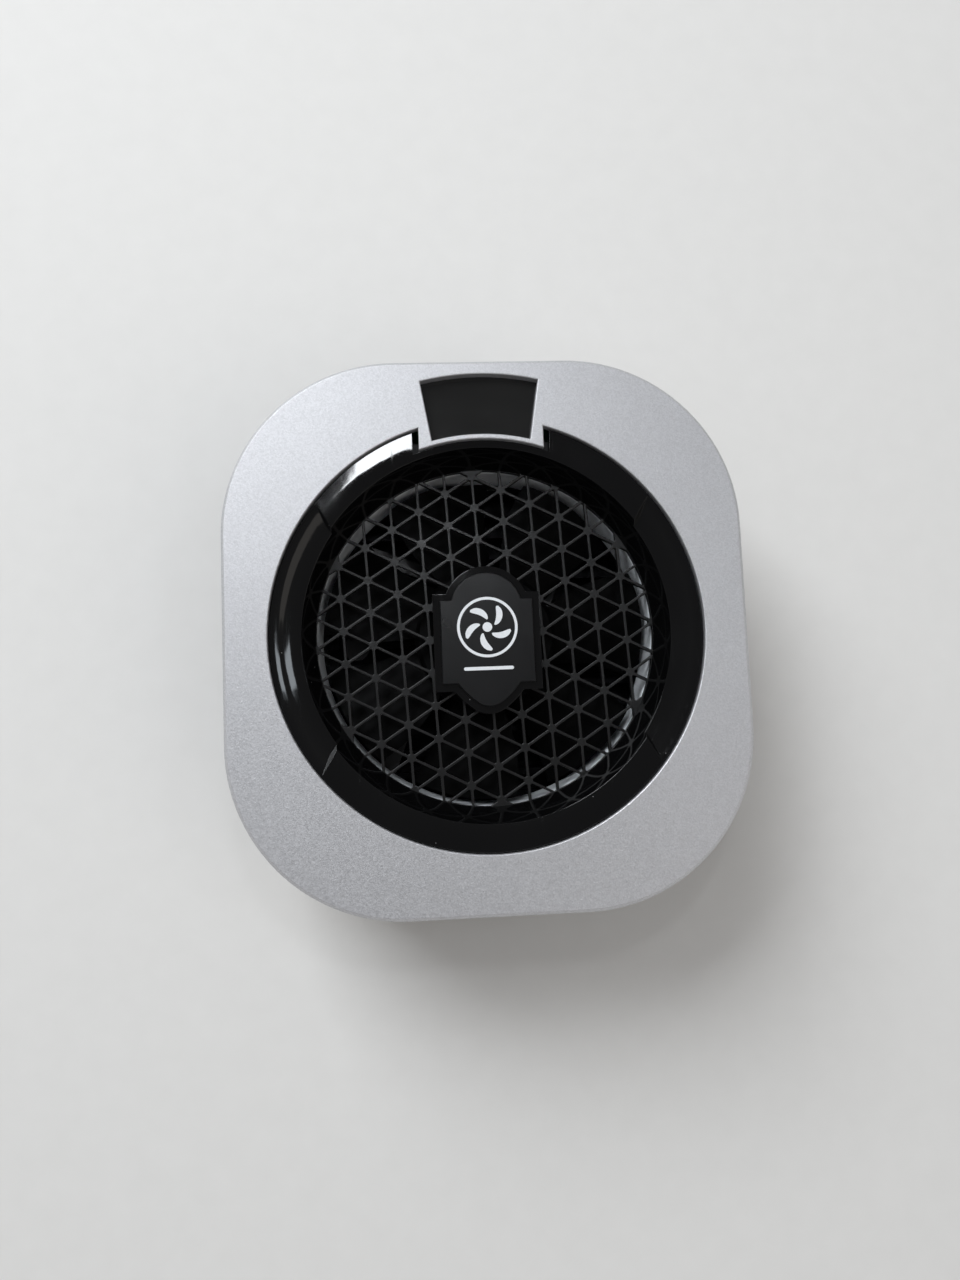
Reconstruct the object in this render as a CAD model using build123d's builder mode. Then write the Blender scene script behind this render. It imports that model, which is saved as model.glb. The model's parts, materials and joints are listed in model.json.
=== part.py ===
from build123d import *
import math
import os

os.makedirs("parts", exist_ok=True)

# A magnetic phone cooler that lies phone side down. The origin is under the middle of the body, on the
# phone side; +Z points out of the air intake and +Y to the display window. All sizes are millimetres.

# Body outline, seen from above
body_width = 66.0
body_extra_length = 4.0
corner_share = 1 / 3
body_length = body_width + body_extra_length
corner_radius = body_width * corner_share

# Heights that stack up from the phone side; the body height is their sum
pad_thickness = 0.6
floor_thickness = 2.6
plate_flange_thickness = 0.7
ceramic_thickness = 0.6
pellet_height = 1.4
heatsink_base = 1.5
fin_height = 4.0
duct_height = 2.6
light_ring_height = 5.4
grille_thickness = 0.8
recess_depth = 5.3

floor_top = pad_thickness + floor_thickness
plate_top = floor_top + plate_flange_thickness
pellet_bottom = plate_top + ceramic_thickness
pellet_top = pellet_bottom + pellet_height
tec_top = pellet_top + ceramic_thickness
fins_bottom = tec_top + heatsink_base
fins_top = fins_bottom + fin_height
duct_top = fins_top + duct_height
light_top = duct_top + light_ring_height
grille_top = light_top + grille_thickness
body_height = grille_top + recess_depth

# Air duct and the intake ring around it, from the inside out
duct_share = 1 / 3
grille_ledge = 0.05
recess_taper = 1.35
lip_width = 1.5
band_width = 2.4
ring_gap = 0.2
duct_radius = body_width * duct_share
recess_bottom_radius = duct_radius + grille_ledge
recess_top_radius = recess_bottom_radius + recess_taper
crest_radius = recess_top_radius + lip_width
ring_radius = crest_radius + band_width
opening_radius = ring_radius + ring_gap

# Clearances
overrun = 1.0
fit_gap = 0.1
thread_gap = 0.02
press_gap = 0.01

# Upper shell
parting_height = 15.5
shell_wall = 1.2
top_plate = 1.3
shell_edge = 0.4
opening_edge = 0.1
plate_bottom = body_height - top_plate

# Window and the tab of the shell that carries it
window_margin = 1.7
window_top_half = 7.6
window_bottom_half = 6.3
window_strip = 0.5
tab_margin = 1.7
tab_tip_gap = 0.1
tab_slot = 0.8
lens_margin = 0.5
lens_thickness = 1.2
window_outer_radius = body_length / 2 - window_margin
window_inner_radius = crest_radius + window_strip
tab_half = window_bottom_half + tab_margin
tab_tip_radius = crest_radius - tab_tip_gap
lens_bottom = plate_bottom - lens_thickness

# Lower shell
back_inset = 0.5
case_wall = 1.6
lip_height = 2.0
back_edge = 1.2
wall_inset = back_inset + case_wall

# Snap hooks of the lower shell's lip, two on each side
hook_length = 6.0
hook_depth = 0.45
hook_height = 0.8
hook_drop = 0.1
hook_side_spread = 16.0
hook_end_spread = 13.0
hook_gap = 0.12


def body_outline(inset, mode=Mode.ADD):
    """Draws the rounded outline of the body, drawn in by the inset."""
    RectangleRounded(
        body_width - 2 * inset, body_length - 2 * inset, corner_radius - inset, mode=mode
    )


def hook_boxes(top, depth, length, height, mode):
    """Adds or cuts the blocks of the snap hooks, outwards from the face of the lip."""
    lip_inset = shell_wall + fit_gap
    with Locations((0, 0, top - height / 2)):
        with GridLocations(body_width - 2 * lip_inset, hook_side_spread, 2, 2):
            Box(2 * depth, length, height, mode=mode)
        with GridLocations(hook_end_spread, body_length - 2 * lip_inset, 2, 2):
            Box(length, 2 * depth, height, mode=mode)


def arc_height(radius, half_width):
    """Height above the middle at which a circle is twice the half width wide."""
    return math.sqrt(radius**2 - half_width**2)


def window_outline():
    """Draws the window: two arcs around the duct's axis, joined by straight sides."""
    top_y = arc_height(window_outer_radius, window_top_half)
    bottom_y = arc_height(window_inner_radius, window_bottom_half)
    with BuildLine() as outline:
        ThreePointArc((-window_top_half, top_y), (0, window_outer_radius), (window_top_half, top_y))
        Line((window_top_half, top_y), (window_bottom_half, bottom_y))
        ThreePointArc(
            (window_bottom_half, bottom_y), (0, window_inner_radius), (-window_bottom_half, bottom_y)
        )
        Line((-window_bottom_half, bottom_y), (-window_top_half, top_y))
    make_face(outline.edges())


def ring(outer_radius, inner_radius):
    """Draws a flat ring around the duct's axis."""
    Circle(outer_radius)
    Circle(inner_radius, mode=Mode.SUBTRACT)


def screw_set(places, seat, direction, head_radius, head_height, shank_radius, shank_length):
    """Makes a set of equal screws whose heads sit on one plane; direction is the way they point."""
    with BuildPart() as screws:
        with BuildSketch(Plane.XY.offset(seat)):
            with Locations(*places):
                Circle(head_radius)
        extrude(amount=-direction * head_height)
        with BuildSketch(Plane.XY.offset(seat)):
            with Locations(*places):
                Circle(shank_radius)
        extrude(amount=direction * shank_length)
    return screws.part


# Display board and the posts of the upper shell that it is staked to
display_post_size = 2.4
display_stake_size = 1.2
display_stake_length = 1.2
display_board_edge = 0.5
display_board_inset = 0.4
display_board_thickness = 0.8
display_side_inset = 0.3
display_end_inset = 1.3
display_height = 2.1
display_gap = 0.1
display_post_gap = 0.8
display_post_x = window_top_half + lens_margin + display_post_size / 2 + display_post_gap
display_y = (window_outer_radius + window_inner_radius) / 2
window_length = window_outer_radius - window_inner_radius
display_board_width = 2 * (display_post_x + display_stake_size / 2 + display_board_edge)
display_board_length = window_length - 2 * display_board_inset
display_width = 2 * (window_bottom_half - display_side_inset)
display_length = window_length - 2 * display_end_inset
display_top = lens_bottom - display_gap
display_board_top = display_top - display_height
display_board_bottom = display_board_top - display_board_thickness
display_post_places = [(-display_post_x, display_y), (display_post_x, display_y)]

# Upper shell: a cap with a round opening, a tab that reaches in at the window, and posts below
with BuildPart() as top_shell:
    with BuildSketch(Plane.XY.offset(parting_height)):
        body_outline(0)
    extrude(amount=body_height - parting_height)
    chamfer(top_shell.faces().sort_by(Axis.Z)[-1].edges(), length=shell_edge)
    with BuildSketch(Plane.XY.offset(parting_height)):
        body_outline(shell_wall)
    extrude(amount=plate_bottom - parting_height, mode=Mode.SUBTRACT)
    with BuildSketch(Plane.XY.offset(plate_bottom)):
        Circle(opening_radius)
        with Locations((0, opening_radius)):
            Rectangle(2 * tab_half, opening_radius, mode=Mode.SUBTRACT)
        Circle(tab_tip_radius)
    extrude(amount=top_plate, mode=Mode.SUBTRACT)
    with BuildSketch(Plane.XY.offset(plate_bottom)):
        window_outline()
    extrude(amount=top_plate, mode=Mode.SUBTRACT)
    top_face = top_shell.faces().sort_by(Axis.Z)[-1]
    chamfer([edge for wire in top_face.inner_wires() for edge in wire.edges()], length=opening_edge)
    hook_boxes(
        parting_height + lip_height - hook_drop + hook_gap,
        hook_depth + fit_gap,
        hook_length + 2 * hook_gap,
        hook_height + 2 * hook_gap,
        Mode.SUBTRACT,
    )
    with BuildSketch(Plane.XY.offset(display_board_top)):
        with Locations(*display_post_places):
            Rectangle(display_post_size, display_post_size)
    extrude(amount=plate_bottom - display_board_top)
    with BuildSketch(Plane.XY.offset(display_board_top)):
        with Locations(*display_post_places):
            Rectangle(display_stake_size, display_stake_size)
    extrude(amount=-display_stake_length)
top_shell.part.label = "top_shell"
export_step(top_shell.part, "parts/top_shell.step")

# Window lens: the window's outline with a margin that is glued behind the shell's plate
with BuildPart() as window_lens:
    with BuildSketch(Plane.XY.offset(lens_bottom)):
        window_outline()
        offset(amount=lens_margin, kind=Kind.INTERSECTION)
        body_outline(shell_wall + fit_gap, mode=Mode.INTERSECT)
    extrude(amount=lens_thickness)
window_lens.part.label = "window_lens"
export_step(window_lens.part, "parts/window_lens.step")

# Intake ring: one turned profile, stepped down to a cone on its left and right sides
ring_rise = 0.6
band_fall = 0.2
lip_fall = 1.2
lip_roll_out = 0.5
lip_roll_down = 0.2
flange_width = 1.8
flange_thickness = 1.0
ring_wall = 1.5
side_band_fall = 0.7
side_lip_fall = 0.5
side_band_margin = 0.15
side_step_slope = 35.0
side_angle_outer = 37.5
side_angle_inner = 32.0
ring_top = body_height - ring_rise
crest_top = ring_top - band_fall
lip_bottom = crest_top - lip_fall
flange_bottom = plate_bottom - flange_thickness
side_crest_top = crest_top - side_band_fall
side_lip_bottom = side_crest_top - side_lip_fall


def polar(radius, angle):
    """Point at a radius and an angle in degrees around the duct's axis."""
    return (radius * math.cos(math.radians(angle)), radius * math.sin(math.radians(angle)))


with BuildPart() as side_wedges:
    with BuildSketch(Plane.XY.offset(side_crest_top)) as side_sectors:
        for turn in (0, 180):
            with BuildLine():
                Polyline(
                    polar(recess_bottom_radius - overrun, turn - side_angle_inner),
                    polar(opening_radius, turn - side_angle_outer),
                    polar(opening_radius / math.cos(math.radians(side_angle_outer)), turn),
                    polar(opening_radius, turn + side_angle_outer),
                    polar(recess_bottom_radius - overrun, turn + side_angle_inner),
                    close=True,
                )
            make_face()
    extrude(amount=body_height - side_crest_top, taper=-side_step_slope)
    extrude(side_sectors.sketch, amount=side_lip_bottom - side_crest_top - overrun)

with BuildPart() as side_cut:
    with BuildSketch(Plane.XZ):
        with BuildLine():
            Polyline(
                (ring_radius - side_band_margin, ring_top),
                (crest_radius, side_crest_top),
                (recess_bottom_radius, side_lip_bottom),
                (recess_bottom_radius, body_height),
                (ring_radius - side_band_margin, body_height),
                close=True,
            )
        make_face()
    revolve(axis=Axis.Z)
    add(side_wedges.part, mode=Mode.INTERSECT)

with BuildPart() as bezel_ring:
    with BuildSketch(Plane.XZ):
        with BuildLine():
            Polyline(
                (recess_top_radius, lip_bottom),
                (recess_top_radius + lip_roll_out, crest_top - lip_roll_down),
                (crest_radius, crest_top),
                (ring_radius, ring_top),
                (ring_radius, plate_bottom),
                (ring_radius + flange_width, plate_bottom),
                (ring_radius + flange_width, flange_bottom),
                (recess_top_radius + ring_wall, flange_bottom),
                (recess_bottom_radius + ring_wall, grille_top),
                (recess_bottom_radius, grille_top),
                close=True,
            )
        make_face()
    revolve(axis=Axis.Z)
    add(side_cut.part, mode=Mode.SUBTRACT)
    with BuildSketch(Plane.XY.offset(lens_bottom - fit_gap)):
        with Locations((0, opening_radius)):
            Rectangle(2 * (tab_half + tab_slot), opening_radius)
        Circle(tab_tip_radius - fit_gap, mode=Mode.SUBTRACT)
    extrude(amount=body_height - lens_bottom + fit_gap, mode=Mode.SUBTRACT)
bezel_ring.part.label = "bezel_ring"
export_step(bezel_ring.part, "parts/bezel_ring.step")

# Badge in the middle of the grille: a plate on a wider pedestal of the same outline
badge_half = 6.0
badge_shoulder = 4.5
badge_foot = 6.3
dome_half = 4.5
dome_height = 3.5
tongue_half = 4.0
tongue_depth = 3.0
tongue_tip_half = 1.5
tongue_tip_depth = 2.5
tongue_waist_half = 2.7
tongue_waist_depth = 1.5
badge_thickness = 0.6
badge_edge = 0.12
boss_height = 1.7
boss_margin = 0.9
boss_top = grille_top + boss_height


def badge_outline():
    """Draws the badge: a plate with a domed top and a tongue that narrows to a rounded point."""
    with BuildLine() as outline:
        ThreePointArc(
            (dome_half, badge_shoulder), (0, badge_shoulder + dome_height), (-dome_half, badge_shoulder)
        )
        Polyline(
            (-dome_half, badge_shoulder),
            (-badge_half, badge_shoulder),
            (-badge_half, -badge_foot),
            (-tongue_half, -badge_foot),
        )
        ThreePointArc(
            (-tongue_half, -badge_foot),
            (-tongue_waist_half, -badge_foot - tongue_waist_depth),
            (-tongue_tip_half, -badge_foot - tongue_tip_depth),
        )
        ThreePointArc(
            (-tongue_tip_half, -badge_foot - tongue_tip_depth),
            (0, -badge_foot - tongue_depth),
            (tongue_tip_half, -badge_foot - tongue_tip_depth),
        )
        ThreePointArc(
            (tongue_tip_half, -badge_foot - tongue_tip_depth),
            (tongue_waist_half, -badge_foot - tongue_waist_depth),
            (tongue_half, -badge_foot),
        )
        Polyline(
            (tongue_half, -badge_foot),
            (badge_half, -badge_foot),
            (badge_half, badge_shoulder),
            (dome_half, badge_shoulder),
        )
    make_face(outline.edges())


def boss_outline():
    """Draws the pedestal: the badge's outline with a margin all round."""
    badge_outline()
    offset(amount=boss_margin, kind=Kind.INTERSECTION)


with BuildPart() as badge_plate:
    with BuildSketch(Plane.XY.offset(boss_top)):
        badge_outline()
    extrude(amount=badge_thickness)
    chamfer(badge_plate.faces().sort_by(Axis.Z)[-1].edges(), length=badge_edge)
badge_plate.part.label = "badge_plate"
export_step(badge_plate.part, "parts/badge_plate.step")

with BuildPart() as badge_boss:
    with BuildSketch(Plane.XY.offset(grille_top)):
        boss_outline()
    extrude(amount=boss_height)
badge_boss.part.label = "badge_boss"
export_step(badge_boss.part, "parts/badge_boss.step")

# Grille: a lattice of triangles with thickened nodes inside a plain rim. The lattice has a node on the
# duct's axis, and one family of its bars stands a few degrees off the body's long axis.
lattice_spacing = 4.26
lattice_angle = 33.0
bar_width = 0.34
node_radius = 0.58
grille_rim_width = 2.2
least_airway = 0.5
lattice_reach = math.ceil(2 * duct_radius / lattice_spacing)


def lattice_point(i, j):
    """Place of a lattice node, counted along two families of bars."""
    first = polar(lattice_spacing, lattice_angle)
    second = polar(lattice_spacing, lattice_angle + 60)
    return (i * first[0] + j * second[0], i * first[1] + j * second[1])


def airway_outline():
    """Points of one airway around its own middle: a triangle between bars, its corners cut by the nodes."""
    middle = lattice_spacing / math.sqrt(3)
    cut_half = (node_radius - bar_width) * math.tan(math.radians(30))
    points = []
    for corner in (0, 120, 240):
        for side in (-1, 1):
            along = polar(middle - node_radius, corner)
            across = polar(cut_half, corner + side * 90)
            points.append((along[0] + across[0], along[1] + across[1]))
    return points


def airway_places():
    """Place and turn of each airway: one triangle above and one below each pair of nodes."""
    places = []
    for i in range(-lattice_reach, lattice_reach):
        for j in range(-lattice_reach, lattice_reach):
            for third, turn in ((1 / 3, 30 + 180), (2 / 3, 30)):
                x, y = lattice_point(i + third, j + third)
                if math.hypot(x, y) < duct_radius + lattice_spacing / 2:
                    places.append(Location((x, y, 0), (0, 0, lattice_angle + turn)))
    return places


with BuildSketch() as airways:
    with Locations(*airway_places()):
        Polygon(*airway_outline(), align=None)
    Circle(duct_radius, mode=Mode.INTERSECT)
    with BuildSketch(mode=Mode.SUBTRACT):
        boss_outline()
open_airways = [face for face in airways.faces() if face.area > least_airway]

with BuildPart() as grille:
    with BuildSketch(Plane.XY.offset(light_top)):
        Circle(duct_radius + grille_rim_width)
        add(open_airways, mode=Mode.SUBTRACT)
    extrude(amount=grille_thickness)
grille.part.label = "grille"
export_step(grille.part, "parts/grille.step")

# Light ring: a milky sleeve that lines the duct between the fan frame and the grille and narrows downwards
light_ring_wall = 1.2
light_ring_taper = 0.3
light_ring_foot = duct_radius - light_ring_taper

with BuildPart() as light_ring:
    with BuildSketch(Plane.XZ):
        with BuildLine():
            Polyline(
                (light_ring_foot, duct_top),
                (duct_radius, light_top),
                (duct_radius + light_ring_wall, light_top),
                (duct_radius + light_ring_wall, duct_top),
                close=True,
            )
        make_face()
    revolve(axis=Axis.Z)
light_ring.part.label = "light_ring"
export_step(light_ring.part, "parts/light_ring.step")

# Ring board around the light ring, with lamps that shine inwards
led_count = 8
led_width = 2.0
led_depth = 1.6
led_height = 0.8
led_gap = 0.2
led_board_gap = 0.3
led_board_width = 3.7
led_board_thickness = 0.8
led_board_inner = duct_radius + light_ring_wall + led_board_gap
led_board_reach = led_board_inner + led_board_width
led_radius = led_board_inner + led_gap + led_depth / 2

with BuildPart() as led_board:
    with BuildSketch(Plane.XY.offset(duct_top)):
        RegularPolygon(led_board_reach, led_count)
        Circle(led_board_inner, mode=Mode.SUBTRACT)
    extrude(amount=led_board_thickness)
led_board.part.label = "led_board"
export_step(led_board.part, "parts/led_board.step")

with BuildPart() as leds:
    with BuildSketch(Plane.XY.offset(duct_top + led_board_thickness)):
        with PolarLocations(led_radius, led_count):
            Rectangle(led_depth, led_width)
    extrude(amount=led_height)
leds.part.label = "leds"
export_step(leds.part, "parts/leds.step")

# Motor and rotor, from the frame upwards
spider_thickness = 1.2
motor_base_radius = 9.4
strut_count = 4
strut_width = 2.0
strut_turn = 24.0
tube_wall = 0.7
tube_floor = 0.6
shaft_radius = 0.75
shaft_running_gap = 0.03
bearing_wall = 1.12
thrust_pad_thickness = 0.3
thrust_gap = 0.03
clip_groove_depth = 0.2
clip_groove_height = 0.4
clip_height = 0.34
clip_width = 0.9
clip_rise = 0.2
bearing_rise = 0.3
bearing_roof_gap = 0.5
fan_board_radius = 8.3
fan_board_sides = 8
fan_board_thickness = 0.6
rotor_board_gap = 0.3
rotor_grille_gap = 0.6
hub_radius = 9.2
hub_wall = 0.5
hub_roof = 1.2
hub_edge = 0.5
yoke_wall = 0.4
magnet_wall = 0.65
air_gap = 0.35
shoe_thickness = 0.8
shoe_angle = 68.0
tooth_width = 1.7
core_wall = 1.5
core_height = 2.2
coil_overhang = 0.5
coil_wall = 0.9
coil_gap = 0.1
pole_count = 4

bearing_bore = shaft_radius + shaft_running_gap
bearing_radius = bearing_bore + bearing_wall
tube_bore = bearing_radius + thread_gap
tube_radius = tube_bore + tube_wall
strut_length = (duct_radius - motor_base_radius) / math.cos(math.radians(strut_turn))
spider_top = fins_top + spider_thickness
fan_board_top = spider_top + fan_board_thickness
rotor_bottom = fan_board_top + rotor_board_gap
rotor_top = light_top - rotor_grille_gap
hub_ceiling = rotor_top - hub_roof
tube_bottom = fins_top + tube_floor
thrust_top = tube_bottom + thrust_pad_thickness
shaft_bottom = thrust_top + thrust_gap
groove_bottom = shaft_bottom + clip_rise
bearing_bottom = groove_bottom + clip_groove_height + bearing_rise
bearing_top = hub_ceiling - bearing_roof_gap
hub_bore = hub_radius - hub_wall
yoke_radius = hub_bore - press_gap
magnet_outer = yoke_radius - yoke_wall - press_gap
magnet_inner = magnet_outer - magnet_wall
stator_radius = magnet_inner - air_gap
core_radius = tube_radius + thread_gap + core_wall
core_bottom = fan_board_top + coil_overhang

# Fan frame: duct wall, lamp flange, lugs on two posts, and a spider that carries the motor
duct_wall = 1.4
flange_height = 1.2
lug_thickness = 1.6
lug_width = 4.0
fan_post_gap = 2.0
fan_post_angle = 30.0
fan_post_size = 3.6
fan_head_radius = 1.8
fan_head_height = 1.0
fan_shank_radius = 0.95
fan_shank_length = 6.0
fan_shank_gap = 0.15
fan_post_reach = led_board_reach + fan_post_gap + fan_post_size / 2
fan_lug_places = [polar(fan_post_reach, fan_post_angle + turn) for turn in (0, 180)]

with BuildPart() as fan_frame:
    with BuildSketch(Plane.XY.offset(fins_top)):
        Rectangle(2 * (fan_post_reach + lug_width / 2), lug_width, rotation=fan_post_angle)
        Circle(duct_radius, mode=Mode.SUBTRACT)
        with Locations(*fan_lug_places):
            Circle(fan_shank_radius + fan_shank_gap, mode=Mode.SUBTRACT)
    extrude(amount=lug_thickness)
    with BuildSketch(Plane.XY.offset(fins_top)):
        ring(duct_radius + duct_wall, duct_radius)
    extrude(amount=duct_height)
    with BuildSketch(Plane.XY.offset(duct_top - flange_height)):
        RegularPolygon(led_board_reach, led_count)
        Circle(duct_radius, mode=Mode.SUBTRACT)
    extrude(amount=flange_height)
    with BuildSketch(Plane.XY.offset(fins_top)):
        with PolarLocations((duct_radius + motor_base_radius) / 2, strut_count, start_angle=45):
            Rectangle(strut_length + duct_wall, strut_width, rotation=strut_turn)
        Circle(motor_base_radius)
        Circle(duct_radius + duct_wall, mode=Mode.INTERSECT)
    extrude(amount=spider_thickness)
    with BuildSketch(Plane.XY.offset(fins_top)):
        Circle(tube_radius)
    extrude(amount=bearing_top - fins_top)
    with BuildSketch(Plane.XY.offset(tube_bottom)):
        Circle(tube_bore)
    extrude(amount=bearing_top - tube_bottom, mode=Mode.SUBTRACT)
fan_frame.part.label = "fan_frame"
export_step(fan_frame.part, "parts/fan_frame.step")

fan_screws = screw_set(
    fan_lug_places,
    fins_top + lug_thickness,
    -1,
    fan_head_radius,
    fan_head_height,
    fan_shank_radius,
    fan_shank_length,
)
fan_screws.label = "fan_screws"
export_step(fan_screws, "parts/fan_screws.step")

with BuildPart() as thrust_pad:
    with BuildSketch(Plane.XY.offset(tube_bottom)):
        Circle(tube_bore - fit_gap)
    extrude(amount=thrust_pad_thickness)
thrust_pad.part.label = "thrust_pad"
export_step(thrust_pad.part, "parts/thrust_pad.step")

with BuildPart() as shaft_bearing:
    with BuildSketch(Plane.XY.offset(bearing_bottom)):
        ring(bearing_radius, bearing_bore)
    extrude(amount=bearing_top - bearing_bottom)
shaft_bearing.part.label = "shaft_bearing"
export_step(shaft_bearing.part, "parts/shaft_bearing.step")

with BuildPart() as fan_board:
    with BuildSketch(Plane.XY.offset(spider_top)):
        RegularPolygon(fan_board_radius, fan_board_sides)
        Circle(tube_radius + thread_gap, mode=Mode.SUBTRACT)
    extrude(amount=fan_board_thickness)
fan_board.part.label = "fan_board"
export_step(fan_board.part, "parts/fan_board.step")

# Stator: a core with four teeth that end in curved shoes, and a coil on each tooth
with BuildPart() as stator_core:
    with BuildSketch(Plane.XY.offset(core_bottom)):
        with BuildLine():
            Polyline(
                (0, 0),
                polar(2 * stator_radius, -shoe_angle / 2),
                polar(2 * stator_radius, shoe_angle / 2),
                close=True,
            )
        make_face()
        Circle(stator_radius, mode=Mode.INTERSECT)
        Circle(stator_radius - shoe_thickness, mode=Mode.SUBTRACT)
        with Locations((stator_radius / 2, 0)):
            Rectangle(stator_radius - shoe_thickness / 2, tooth_width)
    tooth = extrude(amount=core_height)
    with PolarLocations(0, pole_count):
        add(tooth)
    with BuildSketch(Plane.XY.offset(core_bottom)):
        Circle(core_radius)
    extrude(amount=core_height)
    with BuildSketch(Plane.XY.offset(core_bottom)):
        Circle(tube_radius + thread_gap)
    extrude(amount=core_height, mode=Mode.SUBTRACT)
stator_core.part.label = "stator_core"
export_step(stator_core.part, "parts/stator_core.step")

coil_half = tooth_width / 2 + coil_wall
coil_length = arc_height(stator_radius - shoe_thickness, coil_half) - core_radius - 2 * coil_gap
coil_middle = core_radius + coil_gap + coil_length / 2

with BuildPart() as stator_windings:
    with BuildSketch(Plane.XY.offset(core_bottom - coil_overhang)):
        with PolarLocations(coil_middle, pole_count):
            Rectangle(coil_length, 2 * coil_half)
    extrude(amount=core_height + 2 * coil_overhang)
    with BuildSketch(Plane.XY.offset(core_bottom - thread_gap)):
        with PolarLocations(coil_middle, pole_count):
            Rectangle(coil_length + overrun, tooth_width + 2 * thread_gap)
    extrude(amount=core_height + 2 * thread_gap, mode=Mode.SUBTRACT)
stator_windings.part.label = "stator_windings"
export_step(stator_windings.part, "parts/stator_windings.step")

# Rotor: hub cup with swept blades, steel yoke and magnet ring inside it, and the shaft with its clip.
# A blade is a cambered sheet, cut in plan by a swept leading edge and a swept trailing edge.
tip_gap = 0.5
blade_count = 7
blade_thickness = 0.7
blade_camber = 1.0
blade_root_gap = 0.2
blade_top_gap = 0.2
blade_root_half = 3.6
blade_back_reach = 6.0
blade_front_reach = 8.0
blade_back_bow = 0.8
blade_front_bow = 0.9
tip_radius = light_ring_foot - tip_gap
blade_root = hub_radius - 2 * hub_wall
blade_bottom = rotor_bottom + blade_root_gap
blade_top = rotor_top - blade_top_gap

with BuildPart() as blade:
    with BuildSketch(Plane.YZ.offset(blade_root)):
        with BuildLine():
            under = SagittaArc(
                (-blade_back_reach, blade_bottom),
                (blade_front_reach, blade_top - blade_thickness),
                blade_camber,
            )
            upper = SagittaArc(
                (-blade_back_reach, blade_bottom + blade_thickness / 2),
                (blade_front_reach, blade_top - blade_thickness / 2),
                blade_camber + blade_thickness / 2,
            )
            Line(under @ 0, upper @ 0)
            Line(under @ 1, upper @ 1)
        make_face()
    extrude(amount=tip_radius + overrun - blade_root)
    with BuildSketch(Plane.XY.offset(rotor_bottom)):
        with BuildLine():
            back = SagittaArc(
                (blade_root, -blade_root_half),
                (arc_height(tip_radius, blade_back_reach), -blade_back_reach),
                blade_back_bow,
            )
            tip = ThreePointArc(
                back @ 1, (tip_radius, 0), (arc_height(tip_radius, blade_front_reach), blade_front_reach)
            )
            SagittaArc(tip @ 1, (blade_root, blade_root_half), -blade_front_bow)
            Line((blade_root, blade_root_half), (blade_root, -blade_root_half))
        make_face()
    extrude(amount=rotor_top - rotor_bottom, mode=Mode.INTERSECT)

with BuildPart() as fan_rotor:
    with BuildSketch(Plane.XY.offset(rotor_bottom)):
        Circle(hub_radius)
    extrude(amount=rotor_top - rotor_bottom)
    chamfer(fan_rotor.faces().sort_by(Axis.Z)[-1].edges(), length=hub_edge)
    with PolarLocations(0, blade_count):
        add(blade.part)
    with BuildSketch(Plane.XY.offset(rotor_bottom)):
        Circle(hub_bore)
    extrude(amount=hub_ceiling - rotor_bottom, mode=Mode.SUBTRACT)
    with BuildSketch(Plane.XY.offset(hub_ceiling)):
        Circle(shaft_radius + press_gap)
    extrude(amount=hub_roof / 2, mode=Mode.SUBTRACT)
fan_rotor.part.label = "fan_rotor"
export_step(fan_rotor.part, "parts/fan_rotor.step")

with BuildPart() as rotor_yoke:
    with BuildSketch(Plane.XY.offset(rotor_bottom)):
        ring(yoke_radius, yoke_radius - yoke_wall)
    extrude(amount=hub_ceiling - rotor_bottom)
rotor_yoke.part.label = "rotor_yoke"
export_step(rotor_yoke.part, "parts/rotor_yoke.step")

with BuildPart() as rotor_magnet:
    with BuildSketch(Plane.XY.offset(rotor_bottom)):
        ring(magnet_outer, magnet_inner)
    extrude(amount=hub_ceiling - rotor_bottom)
rotor_magnet.part.label = "rotor_magnet"
export_step(rotor_magnet.part, "parts/rotor_magnet.step")

with BuildPart() as rotor_shaft:
    with BuildSketch(Plane.XY.offset(shaft_bottom)):
        Circle(shaft_radius)
    extrude(amount=hub_ceiling + hub_roof / 2 - shaft_bottom)
    with BuildSketch(Plane.XY.offset(groove_bottom)):
        ring(shaft_radius + overrun, shaft_radius - clip_groove_depth)
    extrude(amount=clip_groove_height, mode=Mode.SUBTRACT)
rotor_shaft.part.label = "rotor_shaft"
export_step(rotor_shaft.part, "parts/rotor_shaft.step")

clip_bore = shaft_radius - clip_groove_depth + thread_gap
with BuildPart() as shaft_clip:
    with BuildSketch(Plane.XY.offset(groove_bottom + (clip_groove_height - clip_height) / 2)):
        ring(clip_bore + clip_width, clip_bore)
        with Locations((clip_bore + clip_width / 2, 0)):
            Rectangle(2 * clip_width, clip_bore, mode=Mode.SUBTRACT)
    extrude(amount=clip_height)
shaft_clip.part.label = "shaft_clip"
export_step(shaft_clip.part, "parts/shaft_clip.step")

# Cooling stack: cold plate, thermoelectric module, gasket and heatsink
plate_inset = 1.6
plate_flange = 1.0
flange_sides = 8
tec_corner_gap = 0.6
pellet_size = 2.0
pellet_count = 6
pellet_margin = 1.2
gasket_gap = 0.3
sink_screw_gap = 3.3
sink_head_radius = 1.8
sink_head_height = 1.0
sink_shank_radius = 0.95
sink_shank_gap = 0.15
sink_screw_web = 0.6
sink_inset = 0.5
sink_corner = 5.0
fin_count = 15
fin_thickness = 0.8
fin_head_gap = 0.5
sensor_angle = 30.0
sensor_length = 2.4
sensor_width = 1.6
sensor_height = 1.2
sensor_gap = 0.3
plate_radius = duct_radius - plate_inset
flange_radius = plate_radius + plate_flange
tec_size = math.sqrt(2) * (plate_radius - tec_corner_gap)
sink_size = 2 * (duct_radius - sink_inset)
sink_screw_reach = tec_size / 2 + gasket_gap + sink_screw_gap
sensor_reach = flange_radius - sensor_gap - sensor_length / 2
sink_screw_places = [(-sink_screw_reach, 0), (sink_screw_reach, 0)]

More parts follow.
